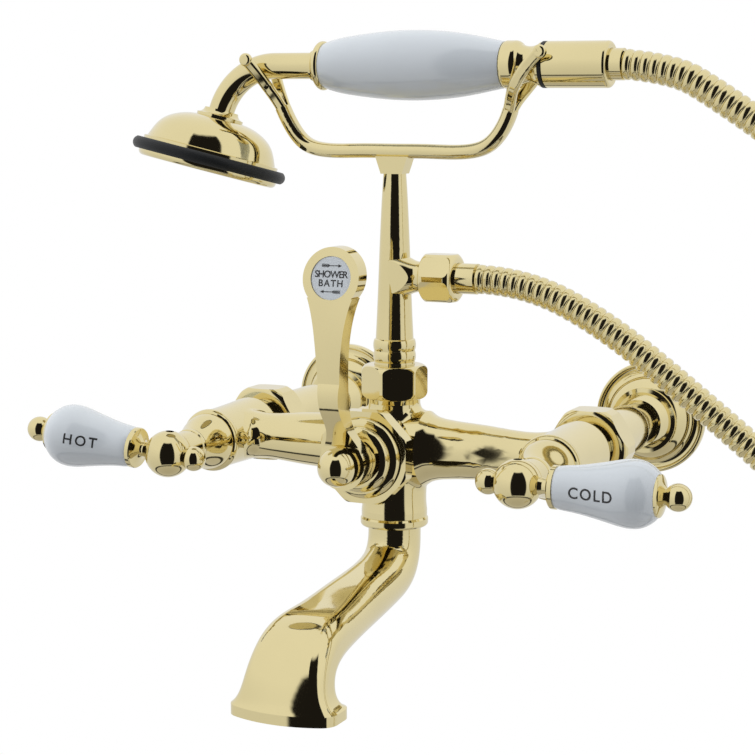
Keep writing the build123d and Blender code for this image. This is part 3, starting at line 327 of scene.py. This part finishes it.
def evaluated_mesh(source, name):
    """The mesh that an object and its modifiers or curve make."""
    bpy.context.view_layer.update()
    ready = source.evaluated_get(bpy.context.evaluated_depsgraph_get())
    mesh = bpy.data.meshes.new_from_object(ready)
    mesh.name = name
    return mesh


def discard(made):
    data = made.data
    bpy.data.objects.remove(made)
    if data.users == 0:
        (bpy.data.curves if isinstance(data, bpy.types.Curve) else bpy.data.meshes).remove(data)


def shade_smooth(mesh):
    for polygon in mesh.polygons:
        polygon.use_smooth = True


# ---------------------------------------------------------------- shower hose
def hose_spline():
    """The route as one smooth spline."""
    curve = bpy.data.curves.new("hose_route", "CURVE")
    curve.dimensions = "3D"
    curve.resolution_u = 24
    spline = curve.splines.new("NURBS")
    spline.points.add(len(HOSE_ROUTE) - 1)
    for point, (x, z) in zip(spline.points, HOSE_ROUTE):
        point.co = (x, HOSE_PLANE_Y, z, 1.0)
    spline.order_u = 3
    spline.use_endpoint_u = True
    return add_object("hose_route", curve)


def rib(radius, pitch, groove):
    """One rib of the hose about X, turned from half its outline."""
    shape = bmesh.new()
    half = ((0.0, 1.0), (0.07, 1.0), (0.15, 0.35), (0.30, 0.05))
    outline = (*half, (0.50, 0.0), *((1.0 - share, depth) for share, depth in reversed(half)))
    verts = [shape.verts.new((share * pitch, 0.0, radius - groove * depth)) for share, depth in outline]
    edges = [shape.edges.new(pair) for pair in zip(verts, verts[1:])]
    bmesh.ops.spin(
        shape, geom=verts + edges, cent=(0, 0, 0), axis=(1, 0, 0), angle=2 * pi, steps=HOSE_SIDES, use_merge=True,
    )
    bmesh.ops.recalc_face_normals(shape, faces=shape.faces)
    mesh = bpy.data.meshes.new("rib")
    shape.to_mesh(mesh)
    shape.free()
    return mesh


class FAUCET_OT_run_hose(bpy.types.Operator):
    """Run the ribbed hose from the riser's outlet down and back up to the hand shower"""

    bl_idname = "faucet.run_hose"
    bl_label = "Shower hose"

    def execute(self, context):
        sizes = context.scene.shower_hose
        route = hose_spline()
        line = evaluated_mesh(route, "hose_line")
        path = [vertex.co.copy() for vertex in line.vertices]
        length = sum((b - a).length for a, b in zip(path, path[1:]))
        count = round(length / sizes.pitch)
        pitch = length / count
        ribs = add_object("ribs", rib(sizes.diameter / 2, pitch, sizes.groove))
        repeat = ribs.modifiers.new("repeat", "ARRAY")
        repeat.fit_type = "FIXED_COUNT"
        repeat.count = count
        repeat.use_relative_offset = False
        repeat.use_constant_offset = True
        repeat.constant_offset_displace = (pitch, 0, 0)
        repeat.use_merge_vertices = True
        repeat.merge_threshold = 1e-5
        bend = ribs.modifiers.new("bend", "CURVE")
        bend.object = route
        bend.deform_axis = "POS_X"
        mesh = evaluated_mesh(ribs, "shower_hose")
        discard(ribs)
        discard(route)
        shade_smooth(mesh)
        mesh.materials.append(brass_material("hose_brass", 0.10, 0.08))
        hose = add_object("shower_hose", mesh)
        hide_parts("shower_hose_lower", "shower_hose_upper")
        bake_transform(hose)
        return {"FINISHED"}


# ---------------------------------------------------------------- lettering
def words(text, height, spacing):
    """Flat letters about the origin in the X and Z directions, facing the front."""
    curve = bpy.data.curves.new("words", "FONT")
    curve.body = text
    curve.align_x = "CENTER"
    curve.align_y = "CENTER"
    curve.size = height / CAPITAL_SHARE
    curve.space_character = spacing
    curve.offset = height * 0.018
    curve.resolution_u = 6
    lettering = add_object("words", curve)
    mesh = evaluated_mesh(lettering, "words")
    discard(lettering)
    mesh.transform(Matrix.Rotation(radians(90), 4, "X"))
    return mesh


def arrow(length, thickness, way):
    """A fletched arrow about the origin, pointing along +X or -X."""
    shape = bmesh.new()
    half, head, barb, t = length / 2, thickness * 5.5, thickness * 2.2, thickness / 2
    neck = half - head
    outlines = [((-half, -t), (neck, -t), (neck, -barb), (half, 0), (neck, barb), (neck, t), (-half, t))]
    for step in range(6):
        x = -half + step * thickness * 1.9
        for side in (-1, 1):
            root, tip = side * t, side * barb
            outlines.append(((x, tip), (x + thickness, tip), (x + barb + thickness, root), (x + barb, root)))
    for outline in outlines:
        shape.faces.new([shape.verts.new((way * x, 0, z)) for x, z in outline])
    mesh = bpy.data.meshes.new("arrow")
    shape.to_mesh(mesh)
    shape.free()
    return mesh


def lay_on(pieces, node, name, thickness, material):
    """Lay flat meshes on a node's front, and give them their thickness."""
    shape = bmesh.new()
    for mesh, place in pieces:
        mesh.transform(place)
        shape.from_mesh(mesh)
        bpy.data.meshes.remove(mesh)
    bmesh.ops.triangulate(shape, faces=shape.faces)
    for _ in range(4):
        long_edges = [edge for edge in shape.edges if edge.calc_length() > LETTER_FACET]
        if not long_edges:
            break
        bmesh.ops.subdivide_edges(shape, edges=long_edges, cuts=1)
        bmesh.ops.triangulate(shape, faces=shape.faces)
    bmesh.ops.remove_doubles(shape, verts=shape.verts, dist=1e-6)
    base = frame["nodes"][node].data
    tree = BVHTree.FromPolygons([v.co for v in base.vertices], [p.vertices for p in base.polygons])
    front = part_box(node)[0][1] - RAY_RUN_UP
    for vert in shape.verts:
        hit, normal, _, _ = tree.ray_cast(Vector((vert.co.x, front, vert.co.z)), Vector((0, 1, 0)))
        if hit is None:
            raise RuntimeError(f"{name} runs off {node}")
        vert.co = hit + normal * thickness
    for face in shape.faces:
        if face.normal.y > 0:
            face.normal_flip()
    mesh = bpy.data.meshes.new(name)
    shape.to_mesh(mesh)
    shape.free()
    mesh.materials.append(material)
    made = add_object(name, mesh)
    wall = made.modifiers.new("thickness", "SOLIDIFY")
    wall.thickness = thickness * 1.5
    wall.offset = -1
    final = evaluated_mesh(made, name)
    discard(made)
    made = add_object(name, final)
    return made


def middle(node):
    low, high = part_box(node)
    return (Vector(low) + Vector(high)) / 2


class FAUCET_OT_letter_levers(bpy.types.Operator):
    """Fire HOT and COLD into the glaze of the two levers"""

    bl_idname = "faucet.letter_levers"
    bl_label = "Lever lettering"

    def execute(self, context):
        sizes = context.scene.lettering
        ink = ink_material()
        for side, text, along, spacing in (("hot", "HOT", 0.0, 1.32), ("cold", "COLD", -0.004, 1.2)):
            node = f"{side}_porcelain_lever"
            centre = middle(node)
            hub = middle(f"{side}_hub")
            lever = centre - hub
            slope = atan2(lever.z, lever.x) if side == "cold" else atan2(-lever.z, -lever.x)
            place = Matrix.Translation((centre.x + along, 0, centre.z)) @ Matrix.Rotation(-slope, 4, "Y")
            word = words(text, sizes.lever_height, spacing)
            letters = lay_on([(word, place)], node, f"{side}_word", sizes.proud, ink)
            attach(letters, f"{side}_handle")
        return {"FINISHED"}


class FAUCET_OT_letter_button(bpy.types.Operator):
    """Name the diverter's two positions on its button"""

    bl_idname = "faucet.letter_button"
    bl_label = "Diverter button lettering"

    def execute(self, context):
        sizes = context.scene.lettering
        centre = middle("diverter_button")
        height = sizes.button_height

        def at(dx, dz):
            return Matrix.Translation((centre.x + dx, 0, centre.z + dz))

        pieces = [
            (words("SHOWER", height, 0.86), at(0, height * 0.62)),
            (words("BATH", height, 1.2), at(0, -height * 0.72)),
            (arrow(height * 3.4, height * 0.11, 1), at(0, height * 1.95)),
            (arrow(height * 3.4, height * 0.11, -1), at(0, -height * 1.95)),
        ]
        ink = bpy.data.materials["fired_lettering"]
        letters = lay_on(pieces, "diverter_button", "button_words", sizes.proud, ink)
        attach(letters, "diverter")
        return {"FINISHED"}


# ---------------------------------------------------------------- finishes
class FAUCET_OT_finish_pieces(bpy.types.Operator):
    """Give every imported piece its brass, porcelain or rubber"""

    bl_idname = "faucet.finish_pieces"
    bl_label = "Finishes"

    def execute(self, context):
        finishes = context.scene.faucet_finishes
        by_slot = {
            "polished_brass": brass_material("polished_brass", finishes.polish, 0.02),
            "hose_metal": bpy.data.materials["hose_brass"],
            "porcelain": porcelain_material(),
            "rubber": rubber_material(),
        }
        slots = {entry["node"]: entry["material_slot"] for entry in frame["record"]["subparts"]}
        for name, node in frame["nodes"].items():
            material = by_slot[slots[name]]
            if node.material_slots:
                for slot in node.material_slots:
                    slot.link = "OBJECT"
                    slot.material = material
            else:
                node.data.materials.append(material)
        return {"FINISHED"}


# ---------------------------------------------------------------- studio
class FAUCET_OT_set_camera(bpy.types.Operator):
    """Stand the camera in front of the faucet, to its right"""

    bl_idname = "faucet.set_camera"
    bl_label = "Camera"

    def execute(self, context):
        studio = context.scene.studio
        camera = bpy.data.cameras.new("camera")
        camera.sensor_width = SENSOR_WIDTH_MM
        camera.lens = studio.camera_lens
        camera.clip_start = 0.05
        stand = add_object("camera", camera)
        azimuth, pitch = studio.camera_azimuth, studio.camera_pitch
        gaze = Vector((-sin(azimuth) * cos(pitch), cos(azimuth) * cos(pitch), -sin(pitch)))
        stand.rotation_euler = gaze.to_track_quat("-Z", "Y").to_euler()
        stand.location = studio.camera_place
        context.scene.camera = stand
        return {"FINISHED"}


def softbox(name, place, aim, size, power):
    """An area lamp that faces a point and shows in no reflection."""
    lamp = bpy.data.lights.new(name, "AREA")
    lamp.shape = "RECTANGLE"
    lamp.size, lamp.size_y = size
    lamp.energy = power
    stand = add_object(name, lamp)
    stand.location = place
    stand.rotation_euler = (Vector(aim) - Vector(place)).to_track_quat("-Z", "Y").to_euler()
    stand.visible_glossy = False


def grey(brightness, warmth=0.0):
    return (brightness, brightness * (1 - warmth * 0.5), brightness * (1 - warmth))


def studio_world(azimuth, brightness):
    """A white light tent with a dark slit towards the camera and a thin dark joint above its floor."""
    world = bpy.data.worlds.new("studio")
    world.use_nodes = True
    shader = Shader(world.node_tree)
    direction = shader.node("TexCoord", output="Generated")
    height = shader.node("VectorMath", {"operation": "DOT_PRODUCT"}, {0: direction, 1: (0, 0, 1)}, "Value")
    level = shader.node("VectorMath", {"operation": "MULTIPLY"}, {0: direction, 1: (1, 1, 0)}, "Vector")
    level = shader.node("VectorMath", {"operation": "NORMALIZE"}, {0: level}, "Vector")
    to_camera = (sin(azimuth), -cos(azimuth), 0)
    facing = shader.node("VectorMath", {"operation": "DOT_PRODUCT"}, {0: level, 1: to_camera}, "Value")
    height = height * 0.5 + 0.5
    tent = shader.node("ValToRGB", {"stops": (
        (0.0, grey(0.52, 0.06)), (0.098, grey(0.60, 0.05)), (0.105, grey(0.04)), (0.124, grey(0.04)),
        (0.134, grey(0.74)), (0.45, grey(0.86)), (0.70, grey(0.98)), (1.0, grey(1.0)),
    )}, {"Fac": height})
    slit = shader.node("ValToRGB", {"stops": (
        (0.0, grey(0.0)), (0.892, grey(0.0)), (0.910, grey(1.0)), (1.0, grey(1.0)),
    )}, {"Fac": facing * 0.5 + 0.5})
    reach = shader.node("ValToRGB", {"stops": (
        (0.14, grey(0.0)), (0.16, grey(1.0)), (0.93, grey(1.0)), (0.955, grey(0.0)),
    )}, {"Fac": height})
    open_part = slit * reach
    bright = shader.node("Background", sockets={"Color": tent, "Strength": brightness})
    dark = shader.node("Background", sockets={"Color": (0.012, 0.011, 0.012, 1.0), "Strength": 1.0})
    white = shader.node("Background", sockets={"Color": (1.0, 1.0, 1.0, 1.0), "Strength": 1.0})
    rays = shader.tree.nodes.new("ShaderNodeLightPath")
    seen = Value(shader.tree, rays.outputs["Is Camera Ray"])
    room = shader.mix(open_part, bright, dark)
    shader.node("OutputWorld", sockets={"Surface": shader.mix(seen, room, white)})
    bpy.context.scene.world = world


class FAUCET_OT_build_studio(bpy.types.Operator):
    """Put the light tent round the faucet and hang the softboxes"""

    bl_idname = "faucet.build_studio"
    bl_label = "Studio"

    def execute(self, context):
        studio = context.scene.studio
        aim = (0.0, -0.15, 0.03)
        softbox("key", (-0.8, -0.9, 1.1), aim, (0.8, 0.8), studio.key)
        softbox("side", (1.2, -0.6, 0.5), aim, (0.5, 1.0), studio.fill)
        studio_world(studio.camera_azimuth, studio.tent)
        context.scene.view_settings.view_transform = "Standard"
        return {"FINISHED"}


# ---------------------------------------------------------------- add-on
STEPS = (
    FAUCET_OT_set_camera, FAUCET_OT_run_hose, FAUCET_OT_letter_levers, FAUCET_OT_letter_button,
    FAUCET_OT_finish_pieces, FAUCET_OT_build_studio,
)
GROUPS = {
    "faucet_finishes": FaucetFinishes, "shower_hose": ShowerHoseSizes, "lettering": LetteringSizes,
    "studio": StudioSettings,
}


class FAUCET_PT_pieces(bpy.types.Panel):
    """Lists the steps that dress the faucet"""

    bl_idname = "FAUCET_PT_pieces"
    bl_label = "Bath faucet"
    bl_space_type = "VIEW_3D"
    bl_region_type = "UI"
    bl_category = "Faucet"

    def draw(self, context):
        for group in GROUPS:
            settings = getattr(context.scene, group)
            box = self.layout.box()
            for name in settings.bl_rna.properties.keys():
                if name not in {"rna_type", "name"}:
                    box.prop(settings, name)
        for step in STEPS:
            self.layout.operator(step.bl_idname)


def register():
    for group in GROUPS.values():
        bpy.utils.register_class(group)
    for name, group in GROUPS.items():
        setattr(bpy.types.Scene, name, PointerProperty(type=group))
    for made in (*STEPS, FAUCET_PT_pieces):
        bpy.utils.register_class(made)


def unregister():
    for made in (FAUCET_PT_pieces, *reversed(STEPS)):
        bpy.utils.unregister_class(made)
    for name in GROUPS:
        delattr(bpy.types.Scene, name)
    for group in reversed(GROUPS.values()):
        bpy.utils.unregister_class(group)


def main():
    register()
    for step in STEPS:
        area, name = step.bl_idname.split(".")
        getattr(getattr(bpy.ops, area), name)()


if __name__ == "__main__":
    main()
